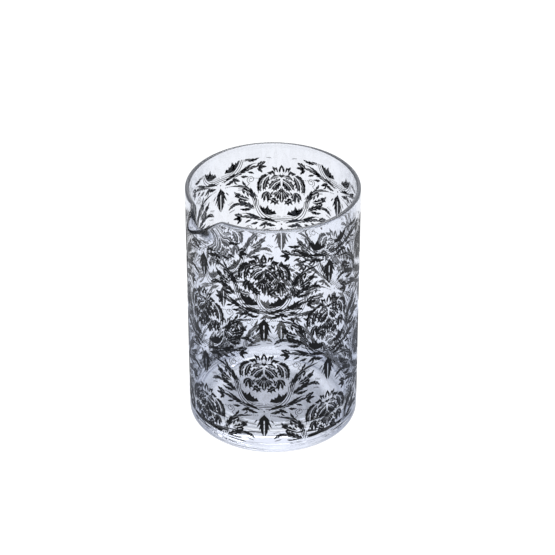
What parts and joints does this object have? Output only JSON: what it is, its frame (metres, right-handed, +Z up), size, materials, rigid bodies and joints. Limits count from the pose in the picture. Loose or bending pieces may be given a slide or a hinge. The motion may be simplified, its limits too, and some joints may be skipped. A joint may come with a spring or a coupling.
{
  "type": "mixing glass",
  "caption": "Straight-sided bar mixing glass with a thick base, round rim and pulled pouring lip, printed all round with a dark floral scroll pattern",
  "frame": {"origin": "on the glass's axis, in the plane of the foot ring that stands on the table", "axes": "+Z up along the glass's axis, -Y towards the pouring lip, +X to the right of someone the lip points at, who faces the glass"},
  "size_m": [0.0912, 0.0998, 0.14],
  "materials": {
    "clear_glass": "polished",
    "black_enamel": "satin"
  },
  "bodies": {
    "root": {"glass_vessel": "clear_glass", "print_petals": "black_enamel", "print_flower_leaves": "black_enamel", "print_crescents": "black_enamel", "print_lance_leaves": "black_enamel", "print_acanthus_leaves": "black_enamel", "print_stems": "black_enamel"}
  },
  "joints": []
}
